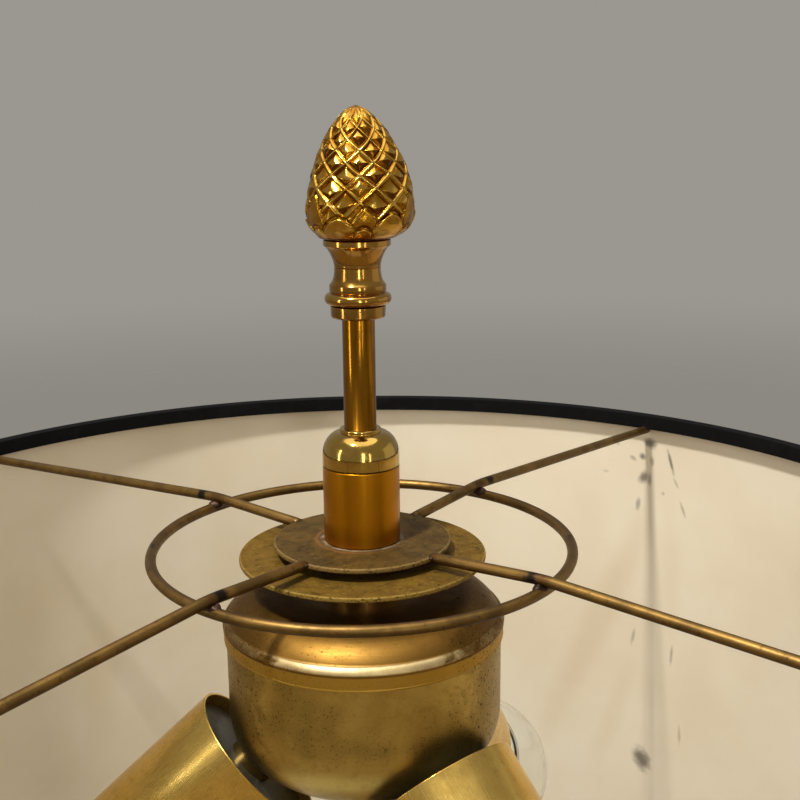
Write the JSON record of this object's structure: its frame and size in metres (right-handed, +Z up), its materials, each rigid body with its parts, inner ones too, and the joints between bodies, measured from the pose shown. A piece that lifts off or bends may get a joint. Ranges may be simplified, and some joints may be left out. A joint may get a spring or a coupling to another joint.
{
  "type": "table lamp",
  "caption": "Brass table lamp: a column with a canister and tilted lamp sleeves under a drum shade on a wire spider, clamped from above and topped by a pineapple finial.",
  "frame": {"origin": "centre of the underside, on the table", "axes": "+Z up along the column, -Y towards the viewer, +X to the viewer's right"},
  "size_m": [0.4629, 0.4628, 0.7317],
  "materials": {
    "felt": "matt dark felt",
    "iron": "rough, painted dark",
    "brass": "polished and lacquered",
    "satin_brass": "satin lacquer, brushed, with pits",
    "gold_brass": "polished gold",
    "dull_brass": "oxidised brown and speckled",
    "wire": "brass plated, tarnished",
    "grey_disc": "dark satin grey, dusty",
    "ceramic": "unglazed white",
    "bakelite": "black moulded",
    "lead": "insulated wire",
    "shade_fabric": "black woven cloth",
    "shade_liner": "cream parchment, stained",
    "tape": "black woven tape",
    "glass": "clear",
    "cap": "bright screw cap",
    "stem_glass": "clear stem with a fine wire"
  },
  "bodies": {
    "stand": {"felt_pad": "felt", "base_weight": "iron", "base_cover": "brass", "base_nut": "brass", "cord_bushing": "bakelite", "foot_collar": "brass", "column_tube": "brass", "top_collar": "brass", "centre_pipe": "brass", "canister_body": "satin_brass", "canister_lid": "satin_brass", "canister_nut": "brass", "terminal_block": "ceramic", "terminal_screws": "brass", "socket_nipples": "brass", "nipple_nuts": "brass", "nipple_collars": "brass", "lamp_sleeve_1": "satin_brass", "lamp_sleeve_2": "satin_brass", "lamp_sleeve_3": "satin_brass", "end_discs": "grey_disc", "lampholder_1": "bakelite", "lampholder_2": "bakelite", "lampholder_3": "bakelite", "socket_contacts": "brass", "socket_leads": "lead", "disc_hub": "brass", "support_disc": "dull_brass"},
    "clamp": {"clamp_sleeve": "satin_brass", "clamp_bush": "brass"},
    "finial": {"dome_cap": "brass", "finial_rod": "brass", "neck_base": "brass", "neck_cup": "brass", "pineapple_finial": "gold_brass"},
    "shade_seat": {"seat_spacer": "dull_brass"},
    "shade": {"spider_plate": "dull_brass", "spider_arm_1": "wire", "spider_arm_2": "wire", "spider_arm_3": "wire", "spider_arm_4": "wire", "spider_ring": "wire", "spider_brazing": "dull_brass", "top_hoop": "wire", "bottom_hoop": "wire", "shade_cover": "shade_fabric", "shade_liner": "shade_liner", "top_tape": "tape", "bottom_tape": "tape"},
    "bulb_1": {"bulb_glass_1": "glass", "bulb_cap_1": "cap", "bulb_filament_1": "stem_glass"},
    "bulb_2": {"bulb_glass_2": "glass", "bulb_cap_2": "cap", "bulb_filament_2": "stem_glass"},
    "bulb_3": {"bulb_glass_3": "glass", "bulb_cap_3": "cap", "bulb_filament_3": "stem_glass"}
  },
  "joints": [
    {"name": "clamp_lift", "type": "slide", "parent": "stand", "child": "clamp", "axis": [0, 0, 1], "range_m": [0, 0.32]},
    {"name": "finial_turn", "type": "hinge", "parent": "clamp", "child": "finial", "pos_m": [0, 0, 0.623], "axis": [0, 0, 1], "continuous": true},
    {"name": "shade_lift", "type": "slide", "parent": "stand", "child": "shade_seat", "axis": [0, 0, 1], "range_m": [0, 0.28]},
    {"name": "shade_swivel", "type": "hinge", "parent": "shade_seat", "child": "shade", "pos_m": [0, 0, 0.5972], "axis": [0, 0, 1], "continuous": true},
    {"name": "bulb_turn_1", "type": "hinge", "parent": "stand", "child": "bulb_1", "pos_m": [0, 0, 0.5581], "axis": [-0.744, -0.1046, -0.66], "continuous": true},
    {"name": "bulb_turn_2", "type": "hinge", "parent": "stand", "child": "bulb_2", "pos_m": [0, 0, 0.5581], "axis": [0.4625, -0.592, -0.66], "continuous": true},
    {"name": "bulb_turn_3", "type": "hinge", "parent": "stand", "child": "bulb_3", "pos_m": [0, 0, 0.5581], "axis": [0.2814, 0.6966, -0.66], "continuous": true}
  ],
  "couplings": [
    {"joint": "shade_lift", "follows": "clamp_lift", "ratio": 0.875}
  ]
}
